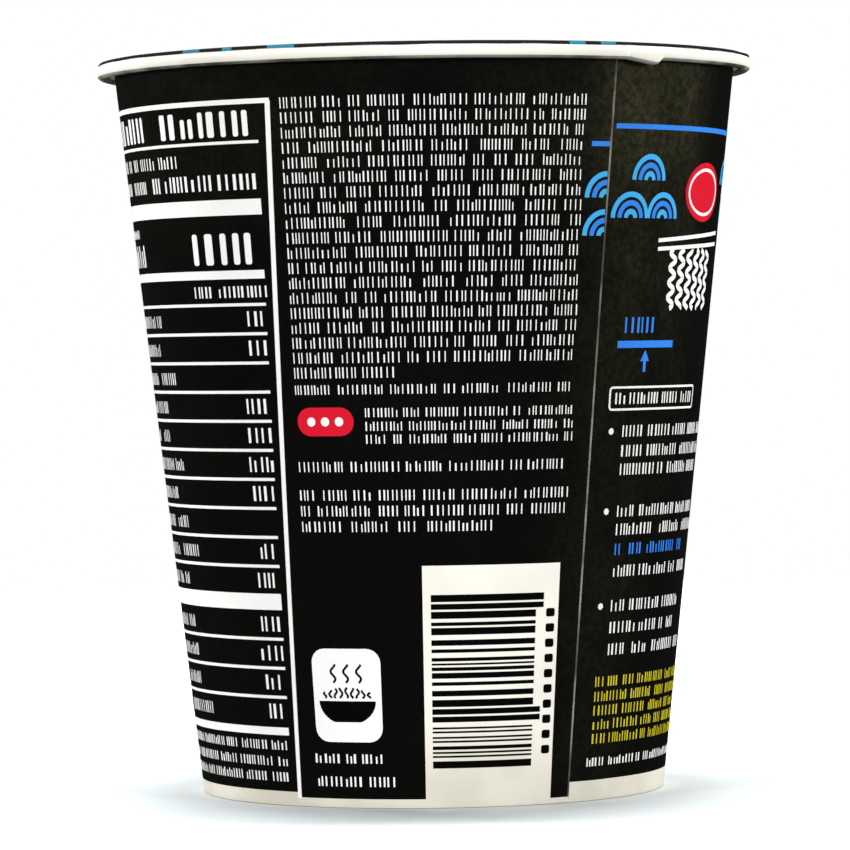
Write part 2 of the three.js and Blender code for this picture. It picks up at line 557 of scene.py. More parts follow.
def make_paper_grain():
    """Fibres and cloudy tone of the paper board, darker where it nears the table as painted shade."""
    inputs = (("Fibre", 2600.0), ("Cloud", 110.0), ("Depth", 0.35), ("Foot shade height", 0.014))
    nodes, given, out = group("Paper grain", inputs, ("Height", "Tone"))
    place = nodes.add("ShaderNodeTexCoord").outputs["Object"]
    fibre = nodes.noise(place, given["Fibre"], 3.0, distortion=1.4)
    cloud = nodes.noise(place, given["Cloud"], 3.0)
    parts = nodes.add("ShaderNodeSeparateXYZ")
    nodes.join(place, parts.inputs[0])
    # Painted shade: the board darkens towards the foot, below the given height.
    painted_foot_shade = nodes.math("SUBTRACT", 1.0, nodes.math("DIVIDE", parts.outputs["Z"], given["Foot shade height"]))
    painted_foot_shade = nodes.span(painted_foot_shade, 0.0, 1.0, 0.0, 0.75)
    tone = nodes.math("MULTIPLY", nodes.span(cloud, 0.35, 0.70, 0.0, 1.0), given["Depth"])
    flecks = nodes.span(fibre, 0.60, 0.80, 0.0, 0.18)
    nodes.join(fibre, out["Height"])
    nodes.join(nodes.math("ADD", painted_foot_shade, nodes.math("ADD", tone, flecks)), out["Tone"])


def new_material(name):
    """An empty material with one Principled shader: (nodes, shader)."""
    made = bpy.data.materials.new(name)
    made.use_nodes = True
    return Nodes(made.node_tree), made.node_tree.nodes["Principled BSDF"]


def material(name):
    """A finish that has been made, by its name."""
    return bpy.data.materials[name]


def relief(nodes, shader, height, distance):
    """Relief of a surface, by a height and how deep it is in metres."""
    bump = nodes.add("ShaderNodeBump")
    bump.inputs["Distance"].default_value = distance
    nodes.join(height, bump.inputs["Height"])
    nodes.join(bump.outputs["Normal"], shader.inputs["Normal"])


def printed_material(name, plain, worn_and_sheen, specular, scuff_and_sheen_by=None):
    """Ink under a crinkled coating: plain colour, and the colour where the coating is crinkled. On the black
    print and the lid this second colour is a lighter black, a painted sheen.
    """
    nodes, shader = new_material(name)
    crinkle = place_group(nodes, "Coating crinkle")
    if scuff_and_sheen_by:
        scuff_and_sheen = nodes.add("ShaderNodeAttribute", attribute_name=scuff_and_sheen_by)
        nodes.join(scuff_and_sheen.outputs["Fac"], crinkle.inputs["Scuff and sheen"])
    nodes.join(nodes.mix(crinkle.outputs["Mottle"], plain, worn_and_sheen), shader.inputs["Base Color"])
    nodes.join(crinkle.outputs["Gloss"], shader.inputs["Roughness"])
    shader.inputs["Specular IOR Level"].default_value = specular
    relief(nodes, shader, crinkle.outputs["Height"], CRINKLE_DEPTH)


def board_material(name, light, shade, depth):
    """Bare paper board with its fibres, and how deep its cloudy tone is. It is darker near the table as
    painted shade.
    """
    nodes, shader = new_material(name)
    grain = place_group(nodes, "Paper grain")
    grain.inputs["Depth"].default_value = depth
    nodes.join(nodes.mix(grain.outputs["Tone"], light, shade), shader.inputs["Base Color"])
    shader.inputs["Roughness"].default_value = 0.55
    shader.inputs["Specular IOR Level"].default_value = 0.2
    relief(nodes, shader, grain.outputs["Height"], FIBRE_DEPTH)


class NOODLECUP_OT_finishes(bpy.types.Operator):
    """The finishes that the pieces share"""

    bl_idname = "noodlecup.finishes"
    bl_label = "Finishes"

    def execute(self, context):
        colours = context.scene.noodlecup_colours
        make_coating_crinkle()
        make_paper_grain()
        # The black print and the lid get the lighter worn black as painted sheen; on the black print it
        # follows the scuff-and-sheen attribute.
        printed_material("black_print", colours.black, colours.black_worn_sheen, 0.2, scuff_and_sheen_by=SCUFF_AND_SHEEN)
        printed_material("lid_film", colours.lid, colours.black_worn_sheen, 0.4)
        for ink in ("black", "white", "blue", "sky", "yellow", "red"):
            plain = Vector(getattr(colours, ink))
            printed_material(f"{ink}_ink", plain, plain * 0.6, 0.2)
        edge = Vector(colours.lid_edge)
        printed_material("lid_edge", edge, edge * 0.4, 0.4)
        board_material("bare_board", colours.board, colours.board_shade, 0.3)
        edge = Vector(colours.cut_edge_and_roll_shade)
        board_material("cut_edge_and_roll_shade", edge, edge * 0.2, 1.2)
        return {"FINISHED"}


# The paper cup

FOOT_RING = 2.2
FOOT_ROUND = 0.35
RIM_FLAT_INSIDE = 44.4
LID_SINK = 0.7
LID_SINK_WIDTH = 1.6
ROLL_SWELL = 0.76
ROLL_SWELL_END = 1.4
ROLL_STEPS = 24
# Bands of the roll that get the dark cut-edge board as painted shade: a top band under the lid, and the
# underside lower than this below the rim's top.
ROLL_SHADE_TOP = 0.12
ROLL_SHADE_FROM = 1.6
ROLL_START = -150.0
WALL_ROWS = 30

# Height at which the black print stops above the foot, from an angle on
PRINT_STOPS = ((-98.0, 2.08), (-34.0, 1.35), (-1.9, 3.0), (28.6, 0.9), (33.8, 3.0))

# Stretches where the black print is painted lighter, mostly painted sheen of the crinkled coating on the lap,
# right of the seam and under the rim, and scuffs on the back: (angle, height) of the middle, (half width,
# half height), strength
SCUFFS_AND_SHEEN = (
    ((43.0, 100.0), (9.0, 26.0), 0.9),
    ((58.0, 98.0), (7.0, 30.0), 0.8),
    ((27.0, 101.0), (15.0, 10.0), 0.22),
    ((40.0, 40.0), (12.0, 60.0), 0.2),
    ((-45.0, 97.0), (28.0, 12.0), 0.2),
    ((140.0, 70.0), (40.0, 50.0), 0.25),
    ((230.0, 60.0), (40.0, 60.0), 0.3),
)
SCUFF_AND_SHEEN_ALL_OVER = 0.06


def print_stop(turn):
    """Height at which the black print stops, by the angle at the foot."""
    turn = (turn + 180.0) % TURN - 180.0
    height = PRINT_STOPS[-1][1]
    for start, stop in PRINT_STOPS:
        if turn >= start:
            height = stop
    return height


def scuff_and_sheen_at(turn, height):
    """How much the black print is painted lighter at a place on the wall, as painted sheen and scuffs."""
    total = SCUFF_AND_SHEEN_ALL_OVER
    for (middle, level), (wide, tall), strength in SCUFFS_AND_SHEEN:
        across = ((turn - middle + 180.0) % TURN - 180.0) / wide
        total += strength * math.exp(-across * across - ((height - level) / tall) ** 2)
    return total


class NOODLECUP_OT_paper_cup(bpy.types.Operator):
    """The paper cup: wall with its lapped seam, rolled rim, foot ring and bottom disc"""

    bl_idname = "noodlecup.paper_cup"
    bl_label = "Paper cup"

    PRINTED, BARE, CUT = range(3)

    def execute(self, context):
        sizes = context.scene.noodlecup_sizes
        wall = Wall(sizes)
        section = self.section(sizes, wall)
        columns = self.columns(wall)
        points = []
        for past in columns:
            for radius, height, kind in section:
                points.append(self.place(wall, past, radius, height, kind))
        faces = []
        finishes = []
        rows = len(section)
        for c, past in enumerate(columns):
            cut = c == len(columns) - 1
            start = c * rows
            following = (c + 1) % len(columns) * rows
            middle = (past + (TURN if cut else columns[c + 1])) / 2
            stop = print_stop(middle + wall.seam(0.0))
            for r in range(rows - 1):
                low, high = section[r], section[r + 1]
                face = (start + r, following + r, following + r + 1, start + r + 1)
                if low[0] == 0.0:
                    face = (start, following + 1, start + 1)
                elif high[0] == 0.0:
                    face = (start + r, following + r, start + r + 1)
                faces.append(face)
                finishes.append(self.finish(low, high, stop, cut))
        points, faces = merged(points, faces)
        looks = [material(name) for name in ("black_print", "bare_board", "cut_edge_and_roll_shade")]
        made = piece("paper_cup", points, faces, looks, finishes, replaces="cup", sharp=40.0)
        # Where the black print is painted lighter, as painted sheen and scuffs.
        scuff_and_sheen = made.data.attributes.new(SCUFF_AND_SHEEN, "FLOAT", "POINT")
        angles = [math.degrees(math.atan2(x, -y)) for x, y, z in points]
        scuff_and_sheen.data.foreach_set("value", [scuff_and_sheen_at(turn, p[2] / MM) for turn, p in zip(angles, points)])
        return {"FINISHED"}

    def finish(self, low, high, stop, cut):
        """Finish of a face between two points of the section: only the wall is printed. The roll's top band
        under the lid and its underside get the dark cut-edge board as painted shade.
        """
        if low[2] == "wall" and high[2] == "wall" and low[1] > stop - 0.01:
            return self.CUT if cut else self.PRINTED
        shaded = high[1] > RIM_TOP - ROLL_SHADE_TOP or high[1] < RIM_TOP - ROLL_SHADE_FROM
        return self.CUT if low[2] == "roll" and shaded else self.BARE

    def section(self, sizes, wall):
        """Half section from the middle of the underside to the middle of the top: (radius, height, kind)."""
        recess = sizes.recess / MM
        inside = wall.cone(0.0) - FOOT_RING
        roll = sizes.roll_height / MM / 2
        roll_middle = RIM_TOP - roll
        roll_centre = sizes.rim_radius / MM - roll
        section = [
            (0.0, recess, "under"),
            (inside * 0.6, recess, "under"),
            (inside - 1.2, recess, "under"),
            (inside + wall.taper * recess, recess - 0.8, "under"),
            (inside, FOOT_ROUND, "under"),
            (inside + FOOT_ROUND, 0.0, "under"),
            (wall.cone(0.0) - FOOT_ROUND, 0.0, "under"),
            (wall.cone(0.12) - 0.08, 0.1, "foot"),
        ]
        stops = sorted({stop for _, stop in PRINT_STOPS})
        top = roll_middle - roll * math.sin(math.radians(180.0 + ROLL_START))
        heights = [FOOT_ROUND, *stops[:-1], *np.linspace(stops[-1], top, WALL_ROWS)]
        section += [(wall.cone(z), z, "wall") for z in heights]
        for i in range(ROLL_STEPS + 1):
            turn = math.radians(ROLL_START + (90.0 - ROLL_START) * i / ROLL_STEPS)
            section.append((roll_centre + roll * math.cos(turn), roll_middle + roll * math.sin(turn), "roll"))
        section += [
            (RIM_FLAT_INSIDE, RIM_TOP, "top"),
            (RIM_FLAT_INSIDE - LID_SINK_WIDTH, RIM_TOP - LID_SINK, "top"),
            (0.0, RIM_TOP - LID_SINK, "top"),
        ]
        return section

    def columns(self, wall):
        """Angles past the seam's edge, with one at each side of a printed field."""
        columns = [float(i) for i in range(round(TURN))]
        for edge, _ in PRINT_STOPS[:-1]:
            past = (edge - wall.seam(0.0)) % TURN
            columns[round(past) % len(columns)] = past
        columns.append(TURN - wall.EDGE_STEP)
        columns += [wall.lap + ROLL_SWELL_END * share for share in (1 / 3, 2 / 3)]
        return sorted(columns)

    def place(self, wall, past, radius, height, kind):
        """A point of the section, turned to its column and raised along the lap."""
        lift = wall.lap_lift(past)
        turn = math.radians(wall.seam(height) + past)
        if kind == "roll":
            below = RIM_TOP - height
            radius += lift * min(below, 1.0) + self.unevenness(turn)
            swell = min(past / wall.lap, 1.0) * (1.0 - smooth((past - wall.lap) / ROLL_SWELL_END))
            height -= ROLL_SWELL * swell * smooth(below - 0.6)
        elif kind in ("wall", "foot"):
            radius += lift
        return (MM * radius * math.sin(turn), -MM * radius * math.cos(turn), MM * height)

    def unevenness(self, turn):
        """How far the roll strays from a true circle."""
        return 0.03 * math.sin(3 * turn + 0.7) + 0.02 * math.sin(11 * turn) - 0.05


# Print of the back: table of figures, lines of words and the label with bars

TABLE_TOP = 99.1
TABLE_LEFT = (-100.0, -95.0)
TABLE_RIGHT = (-29.2, -34.0)
TABLE_FOOT = 1.2
TABLE_FRAME = 0.7
TABLE_MARGIN = 2.2
TABLE_BARS = ((83.4, 85.6), (74.5, 75.7), (27.9, 30.2), (10.1, 11.2))
TABLE_ROWS = [70.9 - 4.09 * i for i in range(10)] + [27.9 - 4.13 * i for i in range(4)]
TABLE_BARE_ROWS = (2, 7)
RULE = 0.42


def table_side(side, height):
    """Angle of the table's side at a height, between its top and foot."""
    top, foot = side
    return foot + (top - foot) * height / TABLE_TOP


class NOODLECUP_OT_table_print(bpy.types.Operator):
    """The table of figures on the back: frame, rules, bars and rows"""

    bl_idname = "noodlecup.table_print"
    bl_label = "Table of figures"

    def execute(self, context):
        wall = Wall(context.scene.noodlecup_sizes)
        rng = random.Random(11)
        rules = Print(wall)
        heights = np.linspace(TABLE_FOOT, TABLE_TOP, 40)
        for side in (TABLE_LEFT, TABLE_RIGHT):
            rules.line([(table_side(side, z), z) for z in heights], TABLE_FRAME)
        half = TABLE_FRAME / 2
        rules.bar(TABLE_LEFT[0] - 0.4, TABLE_RIGHT[0] + 0.4, TABLE_TOP - half, TABLE_TOP + half)
        for low, high in TABLE_BARS:
            self.rule(rules, low, high)
        for height in (93.5, *TABLE_ROWS[:10], *TABLE_ROWS[11:]):
            self.rule(rules, height - RULE / 2, height + RULE / 2)
        words = Print(wall)
        self.head(words, rng)
        self.rows(words, wall, rng)
        rules.piece("table_rules", "white")
        words.piece("table_words", "white")
        return {"FINISHED"}

    def rule(self, field, low, high):
        middle = (low + high) / 2
        left = table_side(TABLE_LEFT, middle) + TABLE_MARGIN
        field.bar(left, table_side(TABLE_RIGHT, middle) - TABLE_MARGIN, low, high)

    def head(self, field, rng):
        """The large words at the top, and the fine lines at the foot."""
        field.word(-96.5, 26.0, 94.3, 3.6, 0.85, rng)
        field.word(-57.8, 20.0, 94.3, 3.6, 0.95, rng)
        field.text(-96.5, -53.0, 90.3, 1.7, 0.26, rng)
        field.text(-96.5, -66.0, 87.0, 1.8, 0.28, rng)
        field.text(-63.5, -31.8, 86.9, 2.2, 0.40, rng)
        field.text(-96.5, -76.0, 80.8, 1.2, 0.22, rng)
        field.word(-96.5, 18.0, 76.6, 3.2, 0.62, rng)
        field.word(-50.9, 13.6, 76.5, 4.4, 1.15, rng)
        field.text(-51.8, -32.1, 71.9, 1.6, 0.28, rng)
        for height in (8.0, 5.7, 3.5):
            field.text(-93.0, -36.5, height, 1.3, 0.2, rng)

    def rows(self, field, wall, rng):
        """A name at the left of each row and mostly a figure at its right."""
        for i, top in enumerate(TABLE_ROWS):
            low = top - 3.05
            left = table_side(TABLE_LEFT, low) + TABLE_MARGIN
            right = table_side(TABLE_RIGHT, low) - TABLE_MARGIN
            field.text(left, left + rng.uniform(22.0, 34.0), low, 1.7, 0.2, rng)
            if i not in TABLE_BARE_ROWS:
                figure = rng.uniform(3.0, 4.4)
                field.word(right - wall.degrees(figure, low), figure, low, 2.1, 0.32, rng)


class NOODLECUP_OT_lines_print(bpy.types.Operator):
    """The lines of words on the back, with a small badge and a sign"""

    bl_idname = "noodlecup.lines_print"
    bl_label = "Lines of words"

    LINES = 19
    LINE_TOP = 97.9
    LINE_PITCH = 2.08

    def execute(self, context):
        wall = Wall(context.scene.noodlecup_sizes)
        rng = random.Random(23)
        words = Print(wall)
        for i in range(self.LINES):
            right = 30.4 if i < self.LINES - 1 else -6.0
            words.text(-26.7 - 0.04 * i, right, self.LINE_TOP - self.LINE_PITCH * i, 1.5, 0.145, rng)
        words.text(-27.5, 30.2, 58.2, 1.3, 0.145, rng)
        for height in (55.0, 53.1, 51.3):
            words.text(-12.8, 30.6, height, 1.25, 0.145, rng)
        words.text(-27.8, 29.4, 47.4, 1.4, 0.16, rng)
        for height, right in ((43.4, 30.0), (41.2, 30.0), (39.0, 13.0)):
            words.text(-28.0, right, height, 1.45, 0.16, rng)
        words.text(-28.7, -11.5, 6.4, 1.3, 0.22, rng)
        words.text(-28.4, -8.0, 3.1, 1.4, 0.23, rng)
        words.piece("lines_words", "white")

        badge = Print(wall)
        badge.bar(-27.4, -15.2, 52.4, 56.4, corner=2.0)
        badge.piece("lines_badge", "red")
        dots = Print(wall, layer=2)
        for turn in (-24.3, -21.3, -18.3):
            dots.disc(turn, 54.4, 0.62, 0.62, steps=12)
        dots.piece("lines_badge_dots", "white")

        sign = Print(wall)
        sign.bar(-28.0, -11.6, 9.4, 22.6, corner=2.0)
        sign.piece("sign_field", "white")
        bowl = Print(wall, layer=2)
        noodle_bowl(bowl, bowl, bowl, -19.8, 15.2, 4.2)
        bowl.piece("sign_bowl", "black")
        return {"FINISHED"}


def noodle_bowl(bowl, noodles, steam, across, along, wide):
    """A bowl with noodles and steam, by half its width in millimetres. Each part has its own ink."""
    strands = 9
    per_mm = bowl.surface.degrees(wide, along)
    bowl.bowl(across, along, wide, 0.8 * wide)
    for i in range(strands):
        share = 2.0 * i / (strands - 1) - 1.0
        top = along + wide * (0.46 - 0.16 * share * share)
        place = across + 0.78 * share * per_mm
        noodles.strand(place, along + 0.1 * wide, top, 0.045 * wide, 1.0, 0.07 * wide, 1.7 * i)
    for share in (-0.45, 0.0, 0.45):
        low = along + 0.62 * wide
        steam.strand(across + share * per_mm, low, low + 0.62 * wide, 0.08 * wide, 1.25, 0.075 * wide)


class NOODLECUP_OT_bar_label(bpy.types.Operator):
    """The pale label with its bars"""

    bl_idname = "noodlecup.bar_label"
    bl_label = "Label with bars"

    BAR_TOP = 30.1
    BAR_FOOT = 5.6
    LONG_BARS = (0, 1, 14, 15, 28, 29)

    def execute(self, context):
        wall = Wall(context.scene.noodlecup_sizes)
        rng = random.Random(37)
        label = Print(wall)
        label.bar(-1.9, 28.9, 0.9, 34.2)
        label.piece("label_field", "bare")
        bars = Print(wall, layer=2)
        height = self.BAR_TOP
        count = 0
        while height > self.BAR_FOOT:
            thick = rng.choice((0.28, 0.28, 0.5, 0.5, 0.8, 1.0))
            gap = rng.choice((0.28, 0.28, 0.5, 0.7))
            bars.bar(-0.1, 25.2 if count in self.LONG_BARS else 23.4, height - thick, height)
            height -= thick + gap
            count += 1
        for i in range(10):
            low = 7.3 + 2.15 * i
            bars.bar(25.9, 28.0, low, low + 1.2, corner=0.3)
        bars.piece("label_bars", "black")
        return {"FINISHED"}


# Print right of the seam: ornament, badge, noodles, fill mark and steps

ORNAMENT_START = 36.9
ORNAMENT_END = 257.0
ORNAMENT_LINE = (94.7, 95.4)
SCALLOP_PITCH = 9.4
SCALLOP_ROWS = ((82.3, 0.5), (87.6, 1.0))
SCALLOP_RADII = ((3.3, "sky"), (2.1, "blue"), (0.9, "sky"))
SCALLOP_LINE = 0.75
SEAM_SLIP = 2.5
BADGE = (67.5, 86.2)
BADGE_HALF = (6.6, 4.2)


class NOODLECUP_OT_ornament(bpy.types.Operator):
    """The blue ornament below the rim: a line over rows of scallops, from the seam round to the table"""

    bl_idname = "noodlecup.ornament"
    bl_label = "Ornament"

    def execute(self, context):
        wall = Wall(context.scene.noodlecup_sizes)
        inks = {"blue": Print(wall), "sky": Print(wall)}
        low, high = ORNAMENT_LINE
        inks["blue"].bar(ORNAMENT_START, ORNAMENT_END, low, high)
        for level, shift in SCALLOP_ROWS:
            count = math.floor((ORNAMENT_END - ORNAMENT_START) / SCALLOP_PITCH - shift)
            for i in range(count):
                turn = ORNAMENT_START + SCALLOP_PITCH * (i + shift)
                if abs(turn - BADGE[0]) > SCALLOP_PITCH * 1.3:
                    self.scallop(inks, turn, level, 0.0)
        self.end_under_lap(inks, wall)
        for ink, field in inks.items():
            field.piece(f"ornament_{ink}", ink)
        return {"FINISHED"}

    def scallop(self, inks, turn, level, start):
        for radius, ink in SCALLOP_RADII:
            inks[ink].arc(turn, level, radius, SCALLOP_LINE, start)

    def end_under_lap(self, inks, wall):
        """The other end of the ornament, which the lap covers in part. It lies a little lower."""
        low, high = ORNAMENT_LINE
        seam = wall.seam(low) - 2 * wall.EDGE_STEP
        inks["blue"].bar(seam - 4.0, seam, low - SEAM_SLIP, high - SEAM_SLIP)
        for level, _ in SCALLOP_ROWS:
            self.scallop(inks, wall.seam(level) - 2 * wall.EDGE_STEP, level - SEAM_SLIP, 90.0)


class NOODLECUP_OT_steps_print(bpy.types.Operator):
    """The panel of steps right of the seam: badge, noodles, fill mark and lines of words"""

    bl_idname = "noodlecup.steps_print"
    bl_label = "Steps"

    STEP_LINES = (51.6, 48.8, 46.2, 40.3, 37.7, 34.9, 31.8, 26.9, 23.8, 20.7)
    FIRST_LINES = (51.6, 40.3, 26.9)
    BLUE_LINES = (34.9,)
    NOTE_LINES = (16.3, 14.2, 12.2, 10.2, 8.2)
    MARK = 48.8
    BADGE_STEPS = 48

    def execute(self, context):
        wall = Wall(context.scene.noodlecup_sizes)
        rng = random.Random(53)
        white = Print(wall)
        blue = Print(wall)
        yellow = Print(wall)
        red = Print(wall)
        rim = Print(wall, layer=2)
        red.disc(*BADGE, *BADGE_HALF)
        rim.closed(self.badge_line(wall, 1.25), self.badge_line(wall, 0.8))
        self.noodles(white)
        blue.text(42.0, 56.0, 66.2, 2.2, 0.34, rng)
        blue.bar(40.3, 58.4, 64.1, 65.1)
        self.arrow(blue, wall)
        white.ring(38.9, 72.0, 55.3, 58.7, 0.3, 0.6)
        white.text(40.6, 70.4, 56.2, 1.6, 0.28, rng)
        for low in self.STEP_LINES:
            if low in self.FIRST_LINES:
                white.disc(40.0, low + 0.8, 0.45, 0.45, steps=10)
            field = blue if low in self.BLUE_LINES else white
            field.text(43.2, rng.uniform(72.0, 96.0), low, 1.6, 0.26, rng)
        for low in self.NOTE_LINES:
            yellow.text(39.8, 98.0, low, 1.4, 0.21, rng)
        white.text(38.6, 96.0, 5.0, 1.2, 0.22, rng)
        white.piece("steps_white", "white")
        blue.piece("steps_blue", "blue")
        yellow.piece("steps_yellow", "yellow")
        red.piece("steps_badge", "red")
        rim.piece("steps_badge_ring", "white")
        return {"FINISHED"}

    def badge_line(self, wall, margin):
        """A line inside the badge's edge."""
        wide = wall.degrees(BADGE_HALF[0] - margin, BADGE[1])
        tall = BADGE_HALF[1] - margin
        turns = [math.tau * k / self.BADGE_STEPS for k in range(self.BADGE_STEPS)]
        return [(BADGE[0] + wide * math.cos(turn), BADGE[1] + tall * math.sin(turn)) for turn in turns]

    def noodles(self, field):
        """Noodles that hang from a pair of sticks."""
        steps = 20
        for start, end in ((79.2, 80.6), (78.0, 79.0)):
            path = []
            for i in range(steps + 1):
                share = i / steps
                path.append((50.5 + 29.5 * share, start + (end - start) * share))
            field.line(path, 0.55)
        for i in range(6):
            field.strand(56.0 + 3.4 * i, 69.6, 78.0, 0.75, 4.0, 0.75, phase=i)

    def arrow(self, field, wall):
        """A small arrow that points up at the fill mark."""
        field.bar(self.MARK - 0.45, self.MARK + 0.45, 60.7, 62.4)
        half = wall.degrees(1.0, 62.6)
        field.strip(
            [(self.MARK + half * side, 62.2) for side in (-1, 0, 1)],
            [(self.MARK - half, 62.25), (self.MARK, 63.8), (self.MARK + half, 62.25)],
        )


class NOODLECUP_OT_front_print(bpy.types.Operator):
    """The front: a bowl with noodles and steam over waves, and a side panel of words"""

    bl_idname = "noodlecup.front_print"
    bl_label = "Front"

    MIDDLE = 180.0
    BOWL_LEVEL = 48.0
    BOWL_WIDE = 25.0

    def execute(self, context):
        wall = Wall(context.scene.noodlecup_sizes)
        rng = random.Random(71)
        white = Print(wall)
        yellow = Print(wall)
        red = Print(wall)
        blue = Print(wall)
        noodle_bowl(white, yellow, white, self.MIDDLE, self.BOWL_LEVEL, self.BOWL_WIDE)
        rim = self.BOWL_LEVEL
        red.bar(self.MIDDLE - 40.0, self.MIDDLE + 40.0, rim + 0.4, rim + 2.2, corner=0.9)
        for level, width in ((22.0, 1.3), (18.2, 1.0), (15.0, 0.7)):
            blue.wave(self.MIDDLE - 46.0, self.MIDDLE + 46.0, level, 1.1, 9, width)
        white.text(self.MIDDLE - 40.0, self.MIDDLE + 40.0, 8.0, 2.0, 0.36, rng)
        white.text(self.MIDDLE - 26.0, self.MIDDLE + 26.0, 4.6, 1.5, 0.26, rng)
        for i in range(14):
            white.text(232.0, 254.0 if i < 13 else 244.0, 72.0 - 2.4 * i, 1.5, 0.24, rng)
        yellow.ring(231.0, 255.0, 20.0, 34.0, 0.5, 1.6)
        for i in range(4):
            yellow.text(233.0, 253.0, 30.0 - 2.6 * i, 1.6, 0.3, rng)
        white.piece("front_white", "white")
        yellow.piece("front_yellow", "yellow")
        red.piece("front_red", "red")
        blue.piece("front_blue", "blue")
        return {"FINISHED"}


# The lid

LID_LIP = 0.8
LID_SETTLE = 0.12
LID_LIP_DROP = 0.15
TAB_WIDTH = 17.0
TAB_REACH = 9.5
TAB_ROOT = 2.0
TAB_DROOP = 18.0

# Stretches of the lid's edge where its print shows in colour, by their angles
LID_EDGE_COLOURED = (
    (-45, -41), (-36, -34), (-27, -22), (25, 28), (31, 34),
    (150, 156), (171, 173), (268, 272),
)


class NOODLECUP_OT_peel_lid(bpy.types.Operator):
    """The peel lid: sealed ring, sunk middle, rippled lip and pull tab"""

    bl_idname = "noodlecup.peel_lid"
    bl_label = "Peel lid"

    COLUMNS = 360
    TAB_STEPS = 16
    TAB_LANES = 8

    def execute(self, context):
        sizes = context.scene.noodlecup_sizes
        radius = sizes.lid_radius / MM
        sheet = sizes.lid_sheet / MM
        rows = self.rows(radius)
        points = []
        for c in range(self.COLUMNS):
            turn = math.tau * c / self.COLUMNS
            upper = [(r, LID_TOP - LID_SETTLE + self.level(r, z, turn, radius)) for r, z in rows]
            lower = [(r, z - sheet) for r, z in reversed(upper)]
            for r, z in upper + lower:
                points.append((MM * r * math.sin(turn), -MM * r * math.cos(turn), MM * z))
        count = 2 * len(rows)
        faces = []
        finishes = []
        for c in range(self.COLUMNS):
            start = c * count
            following = (c + 1) % self.COLUMNS * count
            for r in range(count - 1):
                face = (start + r, start + r + 1, following + r + 1, following + r)
                if r == 0:
                    face = (start, start + 1, following + 1)
                elif r == count - 2:
                    face = (start + r, start + r + 1, following + r)
                faces.append(face)
                edge = len(rows) - 3 < r < len(rows)
                finishes.append(1 if edge and self.coloured(c) else 0)
        points, faces = merged(points, faces)
        looks = [material("lid_film"), material("lid_edge")]
        piece("peel_lid", points, faces, looks, finishes, replaces="lid", sharp=50.0)
        self.tab(sizes.tab_angle, radius, sheet)
        return {"FINISHED"}

    def rows(self, radius):
        """Radius and level of the lid's top, from its middle to its lip."""
        inner = RIM_FLAT_INSIDE - LID_SINK_WIDTH
        middle = [(r, -LID_SINK) for r in np.linspace(0.0, inner, 16)]
        slope = [(inner + LID_SINK_WIDTH * k / 4, -LID_SINK * (1.0 - smooth(k / 4))) for k in range(1, 5)]
        ring = [(r, 0.0) for r in np.linspace(RIM_FLAT_INSIDE + 0.4, radius - LID_LIP, 4)]
        lip = [(radius - LID_LIP * (1.0 - k / 3), -LID_LIP_DROP * (k / 3) ** 2) for k in range(1, 4)]
        return middle + slope + ring + lip

    def level(self, r, z, turn, radius):
        """The lid's level with the slack of its middle and the ripple of its lip."""
        inner = RIM_FLAT_INSIDE - LID_SINK_WIDTH
        if r < inner:
            slack = math.sin(math.pi * r / inner)
            return z + slack * (0.12 * math.sin(5 * turn + r * 0.21) + 0.06 * math.sin(13 * turn - r * 0.4))
        share = max(0.0, (r - radius + LID_LIP) / LID_LIP)
        return z + share * 0.045 * (math.sin(23 * turn) + 0.6 * math.sin(41 * turn + 1.0) - 1.6)

    def coloured(self, column):
        """Whether the print of the lid shows in colour on its edge."""
        turn = (column + 180) % 360 - 180
        return any(start <= turn < end or start <= turn + 360 < end for start, end in LID_EDGE_COLOURED)

    def tab(self, turn, radius, sheet):
        """The pull tab, a tongue with a round end that droops off the lid."""
        out = Vector((math.sin(turn), -math.cos(turn), 0.0))
        side = Vector((math.cos(turn), math.sin(turn), 0.0))
        half = TAB_WIDTH / 2
        start = radius - TAB_ROOT
        end = radius + TAB_REACH
        lanes = self.TAB_LANES
        points = []
        for k in range(self.TAB_STEPS + 1):
            reach = start + (end - start) * k / self.TAB_STEPS
            past = max(0.0, reach - (end - half))
            wide = math.sqrt(max(half * half - past * past, 0.04))
            droop = math.tan(math.radians(TAB_DROOP)) * max(0.0, reach - radius - 0.4)
            for level in (0.02, 0.02 - sheet):
                for j in range(lanes + 1):
                    point = out * reach + side * wide * (2 * j / lanes - 1)
                    points.append((MM * point.x, MM * point.y, MM * (LID_TOP + level - droop)))
        faces = []
        under = lanes + 1
        ring = 2 * under
        for k in range(self.TAB_STEPS):
            a, b = k * ring, (k + 1) * ring
            for j in range(lanes):
                faces.append((a + j, b + j, b + j + 1, a + j + 1))
                faces.append((a + under + j, a + under + j + 1, b + under + j + 1, b + under + j))
            faces.append((a, a + under, b + under, b))
            faces.append((a + lanes, b + lanes, b + under + lanes, a + under + lanes))
        last = self.TAB_STEPS * ring
        for j in range(lanes):
            faces.append((j, j + 1, under + j + 1, under + j))
            faces.append((last + j, last + under + j, last + under + j + 1, last + j + 1))
        piece("pull_tab", points, faces, [material("lid_film")], sharp=50.0)


